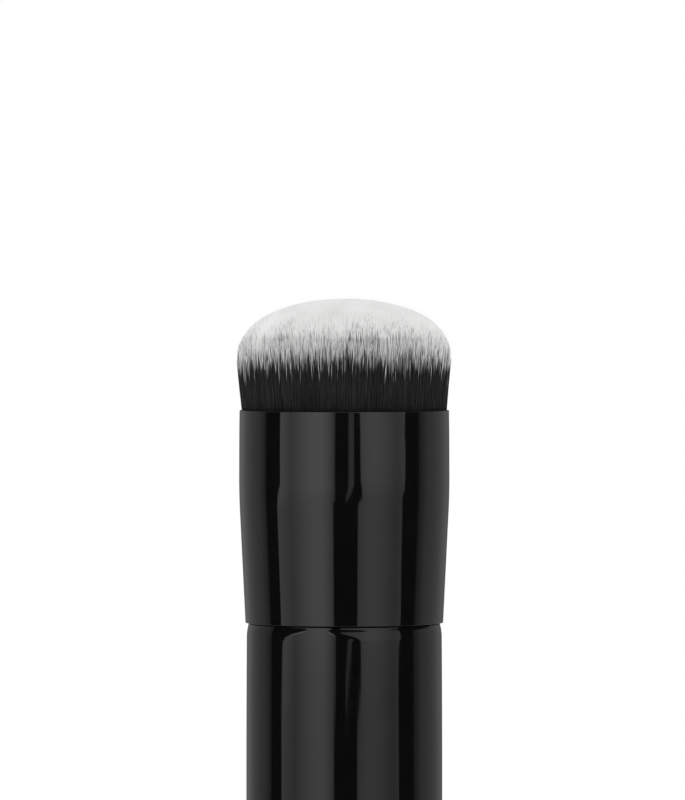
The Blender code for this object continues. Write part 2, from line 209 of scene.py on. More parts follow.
# %% Two tall panels of light
PANEL_RADIUS = 0.90
PANEL_TOP = 1.15
LEFT_JOINT = 0.05
RIGHT_JOINT = 0.085
LEFT_LIGHT = [
    (-100, 0.45), (-84, 0.60), (-79, 1.17), (-73, 1.12), (-60, 0.73), (-48, 1.12), (-42, 1.32),
    (-34, 1.50), (-25, 1.52), (-19, 1.22), (-15, 0.95), (-12, 0.66), (-9.9, 0.40),
]
RIGHT_LIGHT = [
    (-9.9, 0.40), (-4.1, 0.70), (17, 0.92), (25, 1.13), (33, 1.19), (42, 1.07), (48, 0.93),
    (54, 0.76), (60, 0.66), (70, 0.82),
]
LEFT_EDGE = [(-100, 0.40), (-74.6, 0.40), (-74.4, LEFT_JOINT)]
RIGHT_EDGE = [
    (-4.2, 0.40), (-4.1, 0.32), (4.2, 0.245), (11.3, 0.19), (14.5, 0.145), (17, 0.105),
    (17.7, RIGHT_JOINT), (68.5, RIGHT_JOINT), (69.6, 0.10),
]

left_glow = glow("left_light")
right_glow = glow("right_light")
bent_panel("left_light", PANEL_RADIUS, LEFT_EDGE, PANEL_TOP, LEFT_LIGHT, left_glow)
bent_panel("right_light", PANEL_RADIUS, RIGHT_EDGE, PANEL_TOP, RIGHT_LIGHT, right_glow)

# %% [markdown]
# ## Down to the table, and below it
#
# A foot carries each tall panel down from its joint to the edge of the table. Below that level the
# lacquer shows the panels once more, dimmer, as the table mirrors them, and two more panels stand
# in for those mirror images. Each foot dims on its way down to the strength of the image, so that
# no bright edge shows where they meet. The narrow strip is too faint to have an image.

# %% Feet of the tall panels
TABLE_EDGE = 0.010
LEFT_END = -78.9
LEFT_END_LIGHT = 1.0
LEFT_IMAGE_SHARE = 0.86
RIGHT_IMAGE_SHARE = 0.76
LEFT_FOOT_EDGE = [(LEFT_END, TABLE_EDGE), (-78.4, 0.025), (-75.7, 0.045), (-74.5, LEFT_JOINT)]
RIGHT_FOOT_EDGE = [
    (17, RIGHT_JOINT), (19.5, 0.03), (19.7, TABLE_EDGE), (66.2, TABLE_EDGE), (66.4, 0.031),
    (69.0, 0.040), (69.6, 0.07),
]

bent_panel(
    "left_light_foot",
    PANEL_RADIUS,
    TABLE_EDGE,
    LEFT_FOOT_EDGE,
    [(LEFT_END, LEFT_END_LIGHT), *LEFT_LIGHT[3:]],
    left_glow,
    LEFT_IMAGE_SHARE,
)
bent_panel(
    "right_light_foot",
    PANEL_RADIUS,
    RIGHT_FOOT_EDGE,
    RIGHT_JOINT,
    RIGHT_LIGHT[2:],
    right_glow,
    RIGHT_IMAGE_SHARE,
)

# %% The narrow strip
STRIP_JOINT = 0.050
STRIP_TOP = 0.115
STRIP_LIGHT = [(4.2, 0.30), (6.0, 0.50), (7.9, 0.60), (9.4, 0.50), (10.6, 0.36)]
STRIP_FOOT = [
    (1.6, 0.0095), (3.0, 0.0135), (4.2, 0.018), (5.4, 0.0215), (6.4, 0.0245), (7.6, 0.030),
    (8.6, 0.038), (10.0, STRIP_JOINT),
]
STRIP_FOOT_TOP = [(1.6, 0.0265), (2.8, 0.0275), (3.7, 0.031), (4.2, STRIP_JOINT)]
STRIP_FOOT_LIGHT = [(1.6, 0.50), (10.0, 0.50)]

strip_glow = glow("narrow_strip")
bent_panel("narrow_strip", PANEL_RADIUS, STRIP_JOINT, STRIP_TOP, STRIP_LIGHT, strip_glow)
bent_panel(
    "narrow_strip_foot", PANEL_RADIUS, STRIP_FOOT, STRIP_FOOT_TOP, STRIP_FOOT_LIGHT, strip_glow
)

# %% Mirror images in the table
IMAGE_FOOT = -0.35
LEFT_IMAGE_FOOT = [(LEFT_END, TABLE_EDGE), (-78.7, -0.01), (-78.4, -0.03), (-78.2, IMAGE_FOOT)]
RIGHT_IMAGE_TOP = [
    (14.9, 0.003), (15.9, 0.007), (17.2, 0.012), (19.3, 0.017), (19.8, TABLE_EDGE),
    (66.3, TABLE_EDGE), (66.8, -0.02), (67.4, -0.03), (68.4, -0.04),
]


def dimmed(light, share):
    """The same light along a panel, at a share of its strength."""
    return [(azimuth, strength * share) for azimuth, strength in light]


left_dimmed = dimmed(LEFT_LIGHT[4:-1], LEFT_IMAGE_SHARE)
right_dimmed = dimmed(RIGHT_LIGHT[3:-1], RIGHT_IMAGE_SHARE)
bent_panel(
    "left_image",
    PANEL_RADIUS,
    LEFT_IMAGE_FOOT,
    TABLE_EDGE,
    [(LEFT_END, 0.86), (-73, 0.80), *left_dimmed],
    left_glow,
)
bent_panel(
    "right_image",
    PANEL_RADIUS,
    IMAGE_FOOT,
    RIGHT_IMAGE_TOP,
    [(14.9, 0.68), *right_dimmed, (68.4, 0.62)],
    right_glow,
)

# %% Top light
TOP_LIGHT_HEIGHT = 1.05
TOP_LIGHT_SIDE = 0.70
TOP_LIGHT = 4.2

bpy.ops.object.select_all(action="DESELECT")
bpy.ops.mesh.primitive_plane_add(size=1)
top_light = bpy.context.object
top_light.name = "top_light"
top_light.location = (0, 0, TOP_LIGHT_HEIGHT)
top_light.rotation_euler = (math.pi, 0, 0)
top_light.scale = (TOP_LIGHT_SIDE, TOP_LIGHT_SIDE, 1)
corner_light = top_light.data.attributes.new("light", "FLOAT", "POINT")
corner_light.data.foreach_set("value", [TOP_LIGHT] * len(top_light.data.vertices))
top_light.data.materials.append(glow("top_light"))
unseen(top_light)
print("top light:", TOP_LIGHT_SIDE, "m wide,", TOP_LIGHT_HEIGHT, "m up")

# %% [markdown]
# ## Walls and cards that only the gloss sees
#
# Black card gives the lacquer its deep bands, but it would also shade the pale bristles. So the
# walls and cards are left out of the diffuse rays: the room's own even light reaches the bristles
# through them. The handle's shoulder looks upwards and shows what hangs higher up. There, four
# black cards in front of the panels, and one in front of the grey wall, draw the dark wedges and
# the fine line under the seam. A rim of light along two of the wedges gives them a bright edge.

# %% Helper: a Principled finish
def new_finish(name, **sockets):
    """A Principled material, with the numbers that are the same all over set on its sockets."""
    finish = bpy.data.materials.new(name)
    finish.use_nodes = True
    shader = finish.node_tree.nodes["Principled BSDF"]
    for socket, value in sockets.items():
        shader.inputs[socket.replace("_", " ")].default_value = value
    print("finish:", name)
    return finish, finish.node_tree, shader


# %% Walls
WALL_RADIUS = 1.30
WALL_FOOT = -0.40
WALL_TOP = 1.20
BLACK_LIGHT = [(-94.5, 0), (87, 0)]
GREY_LIGHT = [
    (87, 0.04), (89.0, 0.05), (90.0, 0.16), (92, 0.20), (94, 0.225), (97, 0.27), (100.5, 0.355),
    (105, 0.39), (122, 0.37), (132, 0.354), (144, 0.34), (155, 0.26), (165, 0.16), (175, 0.09),
    (185, 0.09), (195, 0.20), (205, 0.32), (213, 0.38), (230, 0.38), (253, 0.37), (262.5, 0.22),
    (265.5, 0.04),
]


def gloss_only(panel):
    """Leaves a panel out of the diffuse rays, so that it takes no light from the bristles."""
    panel.visible_diffuse = False


black_card, _, _ = new_finish("black_card", Base_Color=(0.012, 0.012, 0.012, 1), Roughness=0.9)
gloss_only(bent_panel("black_wall", WALL_RADIUS, WALL_FOOT, WALL_TOP, BLACK_LIGHT, black_card))
gloss_only(
    bent_panel("grey_wall", WALL_RADIUS, WALL_FOOT, WALL_TOP, GREY_LIGHT, glow("grey_wall"))
)

# %% Rims of light along two wedges
CARD_RADIUS = 0.89
RIM_DEPTH = 0.040
LEFT_WEDGE = [
    (-79.6, 0.0), (-78.6, 0.012), (-73.5, 0.12), (-64.7, 0.232), (-56.2, 0.295), (-48, 0.37),
]
MIDDLE_WEDGE = [(-20.5, 0.405), (-11.2, 0.25), (-9.9, 0.14)]

rim_glow = glow("light_rim")
for name, wedge, light in (
    ("left_rim", LEFT_WEDGE, [(-72, 1.0), (-62, 1.6), (-48, 2.4)]),
    ("middle_rim", MIDDLE_WEDGE, [(-20.5, 2.4), (-11.2, 1.6), (-9.9, 0.8)]),
):
    lower = [(azimuth, height - RIM_DEPTH) for azimuth, height in wedge]
    bent_panel(name, CARD_RADIUS, lower, wedge, light, rim_glow)


# %% Cards
def card(name, start, end, foot, top):
    """A black card between two azimuths, a little nearer than the panels."""
    unlit = [(start, 0), (end, 0)]
    gloss_only(bent_panel(name, CARD_RADIUS, foot, top, unlit, black_card))


card("left_card", -84, -47, LEFT_WEDGE, [(-80, 0.415), (-60, 0.43), (-49.5, 0.44), (-47, 0.40)])
card("middle_card", -20.5, -9.6, MIDDLE_WEDGE, [(-20.5, 0.415), (-17, 0.44), (-15, 0.62)])
card(
    "line_card",
    -9.6,
    27,
    [(-9.6, 0.352), (26, 0.370)],
    [(-9.6, 0.62), (-6.2, 0.62), (-4.6, 0.455), (19, 0.435), (27, 0.40)],
)
card("right_card", 57, 71, [(57, 0.375), (70, 0.33)], 0.385)
card("far_card", 84, 136, [(84, 0.29), (95, 0.27), (112, 0.25), (124, 0.235), (136, 0.26)], 0.62)

# %% [markdown]
# ## Floor and background
#
# The photograph's background is pure white. That white is painted, not lit: the world is white
# for the rays that come from the camera, or by way of gloss or glass. For the rays that light the
# brush it is the room's own even light, which has a value of its own, so that one can change
# without the other.
#
# The floor is a small disc under the brush. To the camera it is pale, takes the shadow of the
# brush, and fades into the white at its rim. To all other rays it is a darker paint, so that it
# throws little light up at the brush. To the gloss it also clears towards its rim, because the
# lacquer would show the edge of the disc as a hard line across the ferrule.

# %% Helpers: sums, ramps and mixed shaders
def calculated(tree, operation, first, second):
    """The result of a sum on two values, each of them a number or an output."""
    return add(tree, "ShaderNodeMath", {0: first, 1: second}, operation=operation).outputs[0]


def ramp(tree, value, start, end, low=0.0, high=1.0, **options):
    """A value that goes from low to high while another goes from start to end."""
    sockets = {"Value": value, 1: start, 2: end, 3: low, 4: high}
    return add(tree, "ShaderNodeMapRange", sockets, **options).outputs[0]


def mixed(tree, share, first, second):
    """The shader that lies this share of the way from the first to the second."""
    return add(tree, "ShaderNodeMixShader", {0: share, 1: first, 2: second}).outputs[0]


# %% World
ROOM_LIGHT = 1.0
WHITE = (1, 1, 1, 1)

world = bpy.data.worlds.new("world")
bpy.context.scene.world = world
tree = bare_tree(world)
path = add(tree, "ShaderNodeLightPath").outputs
shown = calculated(tree, "MAXIMUM", path["Is Camera Ray"], path["Is Glossy Ray"])
shown = calculated(tree, "MAXIMUM", shown, path["Is Transmission Ray"])
white = add(tree, "ShaderNodeBackground", {"Color": WHITE, "Strength": 1.0}).outputs[0]
room = add(tree, "ShaderNodeBackground", {"Color": WHITE, "Strength": ROOM_LIGHT}).outputs[0]
add(tree, "ShaderNodeOutputWorld", {"Surface": mixed(tree, shown, room, white)})
print("room light:", ROOM_LIGHT)

# %% Floor
FLOOR_RADIUS = 0.45
FLOOR_GAP = 0.0002
FLOOR_CORNERS = 96

bpy.ops.object.select_all(action="DESELECT")
bpy.ops.mesh.primitive_circle_add(
    vertices=FLOOR_CORNERS,
    radius=FLOOR_RADIUS,
    fill_type="NGON",
    location=(0, 0, cad_low.z - FLOOR_GAP),
)
floor = bpy.context.object
floor.name = "floor"
print("floor:", FLOOR_RADIUS, "m from its middle to its rim")

# %% Paint of the floor
FLOOR_TONE = 0.50
FLOOR_LIFT = 0.25
FADE_SHARES = (0.4, 0.9)
DULL_TONE = 0.20
DULL_SHARES = (0.05, 1.0)
CLEAR_SHARES = (0.35, 0.97)

floor_paint = bpy.data.materials.new("floor_paint")
tree = bare_tree(floor_paint)
path = add(tree, "ShaderNodeLightPath").outputs
place = add(tree, "ShaderNodeTexCoord").outputs["Object"]
reach = add(tree, "ShaderNodeVectorMath", {0: place}, operation="LENGTH").outputs["Value"]


def outwards(shares, low=0.0, high=1.0, **options):
    """A value that changes on the way out from the brush, between two shares of the radius."""
    start, end = (FLOOR_RADIUS * share for share in shares)
    return ramp(tree, reach, start, end, low, high, **options)


paint = add(tree, "ShaderNodeBsdfDiffuse", {"Color": (FLOOR_TONE, FLOOR_TONE, FLOOR_TONE, 1)})
lift = add(tree, "ShaderNodeEmission", {"Color": WHITE, "Strength": FLOOR_LIFT})
lifted = add(tree, "ShaderNodeAddShader", {0: paint.outputs[0], 1: lift.outputs[0]}).outputs[0]
blank = add(tree, "ShaderNodeEmission", {"Color": WHITE, "Strength": 1.0}).outputs[0]
faded = mixed(tree, outwards(FADE_SHARES), lifted, blank)

dull = outwards(DULL_SHARES, FLOOR_TONE, DULL_TONE)
dulled = add(tree, "ShaderNodeBsdfDiffuse", {"Color": dull}).outputs[0]
clearing = outwards(CLEAR_SHARES, interpolation_type="SMOOTHSTEP")
clear = calculated(tree, "MULTIPLY", clearing, path["Is Glossy Ray"])
gap = add(tree, "ShaderNodeBsdfTransparent").outputs[0]
mirrored = mixed(tree, clear, dulled, gap)

seen = mixed(tree, path["Is Camera Ray"], mirrored, faded)
add(tree, "ShaderNodeOutputMaterial", {"Surface": seen})
floor.data.materials.append(floor_paint)
print("floor paint:", len(tree.nodes), "nodes")

# %% [markdown]
# ## Turning a round piece
#
# The ferrule and the handle are round, and their gloss shows every flat of a coarse mesh. So each
# is turned anew: a point is drawn out into the piece's outline by extruding it, the corners of the
# outline are bevelled into arcs, and the outline is spun round the axis in fine steps. A modifier
# could do the spin too, but the operator leaves plain faces that need nothing more.

# %% Helper: hold the flats beside a fillet
HOLD_SHARE = 2.2


def held(corners):
    """The corners of an outline, with a plain point a little before and after each fillet.

    Those points hold the shading of the flat sides, which would bend over their whole length.
    """
    points = []
    for index, corner in enumerate(corners):
        here = Vector(corner[:2])
        sides = []
        for other in (corners[index - 1], corners[(index + 1) % len(corners)]):
            way = Vector(other[:2]) - here
            if len(corner) == 3 and way.length > corner[2] * HOLD_SHARE * 2:
                sides.append([tuple(here + way.normalized() * corner[2] * HOLD_SHARE)])
            else:
                sides.append([])
        points += [*sides[0], corner, *sides[1]]
    return points


# %% Helper: select a corner
TOUCH = 0.0000005


def select_at(piece, radius, height):
    """In edit mode, selects the points of an outline that lie at one corner."""
    build = bmesh.from_edit_mesh(piece.data)
    for vert in build.verts:
        vert.select_set((vert.co - Vector((radius, 0, height))).length < TOUCH)
    build.select_flush_mode()
    bmesh.update_edit_mesh(piece.data)


# %% Helper: turn an outline
TURN_STEPS = 192
FILLET_STEPS = 8
SHARP_ANGLE = math.radians(28)


def turned(name, corners, steps=TURN_STEPS):
    """A round piece from corners of (radius, height) or (radius, height, fillet radius).

    An outline that starts on the axis ends there. Any other is closed into a ring.
    """
    ring = corners[0][0] > 0
    corners = held(corners)
    bpy.ops.object.select_all(action="DESELECT")
    bpy.ops.mesh.primitive_plane_add(size=1)
    piece = bpy.context.object
    piece.name = name
    piece.data.name = name
    bpy.ops.object.mode_set(mode="EDIT")
    bpy.ops.mesh.select_mode(type="VERT")
    bpy.ops.mesh.select_all(action="SELECT")
    bpy.ops.mesh.merge(type="CENTER")
    points = [Vector((corner[0], 0, corner[1])) for corner in corners]
    bpy.ops.transform.translate(value=points[0])
    for before, after in zip(points, points[1:] + points[:1] * ring):
        bpy.ops.mesh.extrude_vertices_move(TRANSFORM_OT_translate={"value": after - before})
    bpy.ops.mesh.select_all(action="SELECT")
    bpy.ops.mesh.remove_doubles(threshold=TOUCH)
    for index, corner in enumerate(corners):
        if len(corner) < 3:
            continue
        before = points[index] - points[index - 1]
        after = points[(index + 1) % len(points)] - points[index]
        select_at(piece, *corner[:2])
        bpy.ops.mesh.bevel(
            affect="VERTICES",
            offset_type="OFFSET",
            offset=corner[2] * math.tan(before.angle(after) / 2),
            segments=FILLET_STEPS,
            profile=0.5,
        )
    bpy.ops.mesh.select_all(action="SELECT")
    bpy.ops.mesh.spin(steps=steps, angle=math.tau, center=(0, 0, 0), axis=(0, 0, 1))
    bpy.ops.mesh.select_all(action="SELECT")
    bpy.ops.mesh.remove_doubles(threshold=TOUCH)
    bpy.ops.mesh.normals_make_consistent(inside=False)
    bpy.ops.object.mode_set(mode="OBJECT")
    bpy.ops.object.shade_smooth_by_angle(angle=SHARP_ANGLE)
    print(name, len(piece.data.polygons), "faces")
    return piece


# %% Helper: dress a piece
def dress(piece, node, finish):
    """Gives a finished piece its material, and lets it stand for a node of the frame."""
    piece.data.materials.append(finish)
    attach(piece, "root")
    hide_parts(node)


# %% [markdown]
# ## Black lacquer and black plastic
#
# The ferrule is aluminium under gloss lacquer. Such a lacquer has a faint orange peel, a slight
# haze that dulls it in places, and no colour of its own. The handle is moulded in gloss plastic, a
# touch softer in its gloss, with slow waves a few thousandths of a millimetre high from the mould.
# Both are dielectrics: the metal and the pigment hardly show, only the clear skin over them.

# %% Helpers: noise, two tones and bump
NOISE_SPAN = (0.3, 0.7)


def noise(tree, place, scale, detail):
    """Noise with features about 1 / scale across."""
    sockets = {"Vector": place, "Scale": scale, "Detail": detail}
    return add(tree, "ShaderNodeTexNoise", sockets).outputs["Fac"]


def grain(tree, place, scale, low, high, detail=3.0):
    """Noise between two values. It rarely leaves its span, so the span is what they share out."""
    return ramp(tree, noise(tree, place, scale, detail), *NOISE_SPAN, low, high)


def two_tone(tree, share, dark, light):
    """The colour that lies this share of the way from dark to light."""
    mix = add(tree, "ShaderNodeMix", data_type="RGBA")
    mix.inputs[6].default_value = (*dark, 1)
    mix.inputs[7].default_value = (*light, 1)
    tree.links.new(share, mix.inputs[0])
    return mix.outputs[2]


def roughen(tree, shader, height, distance):
    """Bump, whose height in metres is the distance."""
    sockets = {"Height": height, "Distance": distance, "Strength": 1.0}
    bump = add(tree, "ShaderNodeBump", sockets)
    tree.links.new(bump.outputs[0], shader.inputs["Normal"])


# %% Helper: a skin of noise
def new_skin(name, dark, light, cloud_scale, haze_scale, roughness, **sockets):
    """A finish whose colour clouds between two tones and whose gloss is hazy in places."""
    finish, tree, shader = new_finish(name, **sockets)
    place = add(tree, "ShaderNodeTexCoord").outputs["Object"]
    tone = two_tone(tree, grain(tree, place, cloud_scale, 0.0, 1.0), dark, light)
    tree.links.new(tone, shader.inputs["Base Color"])
    tree.links.new(grain(tree, place, haze_scale, *roughness), shader.inputs["Roughness"])
    return finish, tree, shader, place


# %% Finish of the ferrule
PEEL_SCALE = 1400
PEEL_HEIGHT = 0.0000006

lacquer, tree, shader, place = new_skin(
    "ferrule_lacquer",
    dark=(0.0022, 0.0022, 0.0023),
    light=(0.0034, 0.0034, 0.0034),
    cloud_scale=260,
    haze_scale=900,
    roughness=(0.045, 0.060),
    IOR=1.5,
)
roughen(tree, shader, noise(tree, place, PEEL_SCALE, 1.0), PEEL_HEIGHT)

# %% Finish of the handle
MOULD_WAVE_SCALE = 160
MOULD_WAVE_HEIGHT = 0.000004

gloss_plastic, tree, shader, place = new_skin(
    "handle_plastic",
    dark=(0.0020, 0.0020, 0.0021),
    light=(0.0032, 0.0032, 0.0032),
    cloud_scale=180,
    haze_scale=700,
    roughness=(0.050, 0.070),
    IOR=1.46,
)
roughen(tree, shader, noise(tree, place, MOULD_WAVE_SCALE, 1.0), MOULD_WAVE_HEIGHT)

# %% [markdown]
# ## The ferrule
#
# A drawn tube with one thin wall. It is widest fourteen millimetres below its mouth, a little
# above its middle, turns over gently there, and draws in to its foot. Its rolled lips are tiny,
# yet they catch the light at the mouth and at the seam, so they are bevelled in eight steps like
# the belly. The frame keeps a gap between ferrule and handle, where the photograph shows a thin
# line. So the foot is drawn down and the handle's rim is drawn up, until a fine seam is left.

# %% Ferrule
FERRULE_WALL = 0.00035
BELLY_RADIUS = 0.01757
BELLY_DEPTH = 0.0140
BELLY_BLEND = 0.1000
MOUTH_DRAW_IN = 0.00008
TURN_IN_DEPTH = 0.0040
TURN_IN_DRAW = 0.00003
FOOT_DRAW_IN = 0.00106
LIP = 0.00006
SEAM_DRAW = 0.00016

ferrule_low, ferrule_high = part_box("ferrule")
mouth_z = ferrule_high.z
foot_z = ferrule_low.z - SEAM_DRAW / 2
belly_z = mouth_z - BELLY_DEPTH
mouth_radius = BELLY_RADIUS - MOUTH_DRAW_IN
foot_radius = BELLY_RADIUS - FOOT_DRAW_IN
ferrule_shell = turned(
    "ferrule_shell",
    [
        (mouth_radius, mouth_z, LIP),
        (BELLY_RADIUS - TURN_IN_DRAW, mouth_z - TURN_IN_DEPTH, BELLY_BLEND),
        (BELLY_RADIUS, belly_z, BELLY_BLEND),
        (foot_radius, foot_z, LIP),
        (foot_radius - FERRULE_WALL, foot_z, LIP),
        (BELLY_RADIUS - FERRULE_WALL, belly_z, BELLY_BLEND - FERRULE_WALL),
        (mouth_radius - FERRULE_WALL, mouth_z, LIP),
    ],
)
dress(ferrule_shell, "ferrule", lacquer)

# %% [markdown]
# ## The handle
#
# A moulded barrel that is closed at its base. Its shoulder turns in under the ferrule along a
# parabola, and that curve bends the panels of light into the soft arches under the seam. The edge
# of the rim is rounded by a fifth of a millimetre. Below the photograph's edge the barrel stands
# on a flat ring round a shallow dish. Inside, a ribbed ring holds the balance weight.

# %% Side of the handle
NECK_SET_IN = 0.00022
SHOULDER_SET_IN = 0.00035
SHOULDER_DEPTH = 0.0024
SHOULDER_STEPS = 12
BARREL_TAPER = 0.00012
BARREL_SWELL = 0.00013
BARREL_STEPS = 12
BASE_EDGE = 0.0018

handle_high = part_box("handle")[1]
rim_z = handle_high.z + SEAM_DRAW
neck_z = rim_z - SHOULDER_DEPTH
neck_radius = foot_radius - NECK_SET_IN

shoulder = []
for step in range(1, SHOULDER_STEPS):
    share = 1 - step / SHOULDER_STEPS
    shoulder.append((neck_radius - SHOULDER_SET_IN * share**2, neck_z + SHOULDER_DEPTH * share))
barrel = []
for step in range(BARREL_STEPS):
    share = step / BARREL_STEPS
    swell = BARREL_SWELL * 4 * share * (1 - share)
    radius = neck_radius - BARREL_TAPER * share + swell
    barrel.append((radius, neck_z + (BASE_EDGE - neck_z) * share))
print("points down the side:", len(shoulder) + len(barrel))

# %% Handle
RIM_EDGE = 0.00022
HANDLE_WALL = 0.0022
HANDLE_FLOOR = 0.0030
BORE_CORNER = 0.0008
BASE_RING = 0.0056
DISH_DEPTH = 0.0006
DISH_SLOPE = 0.0010
RING_HEIGHT = 0.0060
RING_WALL = 0.0012
RING_LEAD_IN = 0.0005
RIB_LENGTH = 0.0022

rim_radius = neck_radius - SHOULDER_SET_IN
base_radius = neck_radius - BARREL_TAPER
bore = rim_radius - HANDLE_WALL
ring_radius = bore - RIB_LENGTH
ring_bore = ring_radius - RING_WALL
ring_top = HANDLE_FLOOR + RING_HEIGHT
handle_barrel = turned(
    "handle_barrel",
    [
        (0, HANDLE_FLOOR),
        (ring_bore, HANDLE_FLOOR),
        (ring_bore, ring_top - RING_LEAD_IN),
        (ring_bore + RING_LEAD_IN, ring_top),
        (ring_radius, ring_top),
        (ring_radius, HANDLE_FLOOR),
        (bore, HANDLE_FLOOR, BORE_CORNER),
        (bore, rim_z, RIM_EDGE),
        (rim_radius, rim_z, RIM_EDGE),
        *shoulder,
        *barrel,
        (base_radius, 0, BASE_EDGE),
        (base_radius - BASE_RING, 0),
        (base_radius - BASE_RING - DISH_SLOPE, DISH_DEPTH),
        (0, DISH_DEPTH),
    ],
)

# %% Ribs inside the handle
RIB_THICKNESS = 0.0010
RIB_ROOT = 0.0004
RIBS = 6

rib_reach = (ring_radius - RIB_ROOT, bore + RIB_ROOT)
rib_levels = (HANDLE_FLOOR - RIB_ROOT, ring_top - RING_LEAD_IN)
for index in range(RIBS):
    bpy.ops.object.select_all(action="DESELECT")
    bpy.ops.mesh.primitive_cube_add(size=1, location=(sum(rib_reach) / 2, 0, sum(rib_levels) / 2))
    rib = bpy.context.object
    rib.scale = (rib_reach[1] - rib_reach[0], RIB_THICKNESS, rib_levels[1] - rib_levels[0])
    bpy.ops.object.transform_apply(location=True, rotation=False, scale=True)
    rib.rotation_euler = (0, 0, math.tau * index / RIBS)
    bpy.ops.object.transform_apply(location=False, rotation=True, scale=False)
    bpy.ops.object.select_all(action="DESELECT")
    handle_barrel.select_set(True)
    bpy.context.view_layer.objects.active = handle_barrel
    union = handle_barrel.modifiers.new("rib", "BOOLEAN")
    union.operation = "UNION"
    union.object = rib
    bpy.ops.object.modifier_apply(modifier=union.name)
    bpy.data.objects.remove(rib)
bpy.ops.object.shade_smooth_by_angle(angle=SHARP_ANGLE)
dress(handle_barrel, "handle", gloss_plastic)
print("handle_barrel with ribs:", len(handle_barrel.data.polygons), "faces")

# %% [markdown]
# ## The pieces inside
#
# Band, resin, glue, insert, weight and pad are closed away in the brush. Their solids in the frame
# already have the right shape, so they stay, and each gets the finish of what it is made of.

# %% Helper: finish of an inner piece
def finish_inner(slot, names, dark, light, scale, roughness, relief=0.0, metallic=0.0):
    """A mottled finish for nodes of the frame. Its relief, where it has one, is fine noise."""
    finish, tree, shader, place = new_skin(
        slot, dark, light, scale, scale * 2, roughness, Metallic=metallic
    )
    if relief:
        roughen(tree, shader, noise(tree, place, scale * 4, 2.0), relief)
    for name in names:
        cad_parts[name].material_slots[0].material = finish
    return tree, shader, place


# %% Resin, glue, plastic and foam
RESIN_TONES = (0.30, 0.17, 0.05), (0.46, 0.30, 0.12)
GLUE_TONES = (0.62, 0.59, 0.50), (0.76, 0.74, 0.67)
INSERT_TONES = (0.08, 0.08, 0.085), (0.12, 0.12, 0.125)
FOAM_TONES = (0.70, 0.69, 0.63), (0.84, 0.83, 0.78)
GLUE_BANDS = ["ferrule_glue_band", "handle_glue_band"]

for slot, names, tones, scale, roughness, relief in (
    ("root_resin", ["resin_plug"], RESIN_TONES, 220, (0.15, 0.3), 0.00002),
    ("cured_glue", GLUE_BANDS, GLUE_TONES, 420, (0.35, 0.55), 0.00004),
    ("insert_plastic", ["tenon_insert"], INSERT_TONES, 600, (0.4, 0.5), 0.00001),
    ("pad_foam", ["weight_pad"], FOAM_TONES, 1600, (0.85, 0.95), 0.00012),
):
    finish_inner(slot, names, *tones, scale, roughness, relief)


# %% Turned steel and woven elastic
STEEL_TONES = (0.46, 0.46, 0.47), (0.58, 0.58, 0.59)
TOOL_MARK_SCALE = 5200 / math.tau
TOOL_MARK_HEIGHT = 0.000006
ELASTIC_TONES = (0.34, 0.21, 0.11), (0.52, 0.35, 0.20)
ELASTIC_RIB_SCALE = 2400 / math.tau
ELASTIC_RIB_HEIGHT = 0.00008


def ridges(tree, place, scale, distortion):
    """Ridges that run round a piece, one above the other."""
    sockets = {"Vector": place, "Scale": scale, "Distortion": distortion, "Detail": 1.0}
    return add(tree, "ShaderNodeTexWave", sockets, bands_direction="Z").outputs["Fac"]


tree, shader, place = finish_inner(
    "weight_steel",
    ["balance_weight"],
    *STEEL_TONES,
    scale=300,
    roughness=(0.26, 0.38),
    metallic=1.0,
)
roughen(tree, shader, ridges(tree, place, TOOL_MARK_SCALE, 0.6), TOOL_MARK_HEIGHT)
tree, shader, place = finish_inner(
    "knot_elastic", ["knot_band"], *ELASTIC_TONES, scale=500, roughness=(0.6, 0.75)
)
roughen(tree, shader, ridges(tree, place, ELASTIC_RIB_SCALE, 0.8), ELASTIC_RIB_HEIGHT)

# %% [markdown]
# ## The body of the bristle head
#
# Some tens of thousands of fibres stand in the ferrule. Only their last millimetres show, so the
# bundle's inside is one turned body: the glued root slice in the ferrule, and above it a core that
# keeps a millimetre or two under the tips. It is black below and pale above, as the fibres are, so
# that a gap between them never shows a wrong colour.

# %% Shape of the bundle
WIDEST_HEIGHT = 0.0087
DOME_HEIGHT = 0.0099
DOME_POWER = 2.2
BUNDLE_GAP = 0.00006
SPREAD = 0.00091

widest_z = mouth_z + WIDEST_HEIGHT
bundle_mouth = mouth_radius - FERRULE_WALL - BUNDLE_GAP
widest_radius = bundle_mouth + SPREAD


def bundle_radius(height):
    """Outer radius of the bundle, which spreads evenly as it rises from the mouth."""
    return bundle_mouth + SPREAD * (height - mouth_z) / WIDEST_HEIGHT


def dome_level(radius):
    """Level of the dome at a radius: a superellipse, fuller at its shoulders than a sphere."""
    share = np.clip(radius / widest_radius, 0, 1)
    return widest_z + DOME_HEIGHT * (1 - share**DOME_POWER) ** (1 / DOME_POWER)


print("widest, in millimetres:", round(widest_radius * 2 * MILLIMETRES, 2))

# %% Bristle core
KNOT_DEPTH = 0.0050
KNOT_SET_IN = 0.00114
CORE_DEPTH = 0.0017
CORE_STEPS = 18
CORE_TURN_STEPS = 96

root_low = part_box("bristles")[0]
knot_radius = bundle_mouth - KNOT_SET_IN
core_dome = []
for step in range(CORE_STEPS + 1):
    turn = math.pi / 2 * step / CORE_STEPS
    core_dome.append(
        (
            (widest_radius - CORE_DEPTH) * math.sin(turn) ** (2 / DOME_POWER),
            widest_z + (DOME_HEIGHT - CORE_DEPTH) * math.cos(turn) ** (2 / DOME_POWER),
        )
    )
bristle_core = turned(
    "bristle_core",
    [
        *core_dome,
        (bundle_mouth - CORE_DEPTH / 2, mouth_z - CORE_DEPTH / 2),
        (knot_radius, mouth_z - KNOT_DEPTH),
        (knot_radius, root_low.z),
        (0, root_low.z),
    ],
    steps=CORE_TURN_STEPS,
)

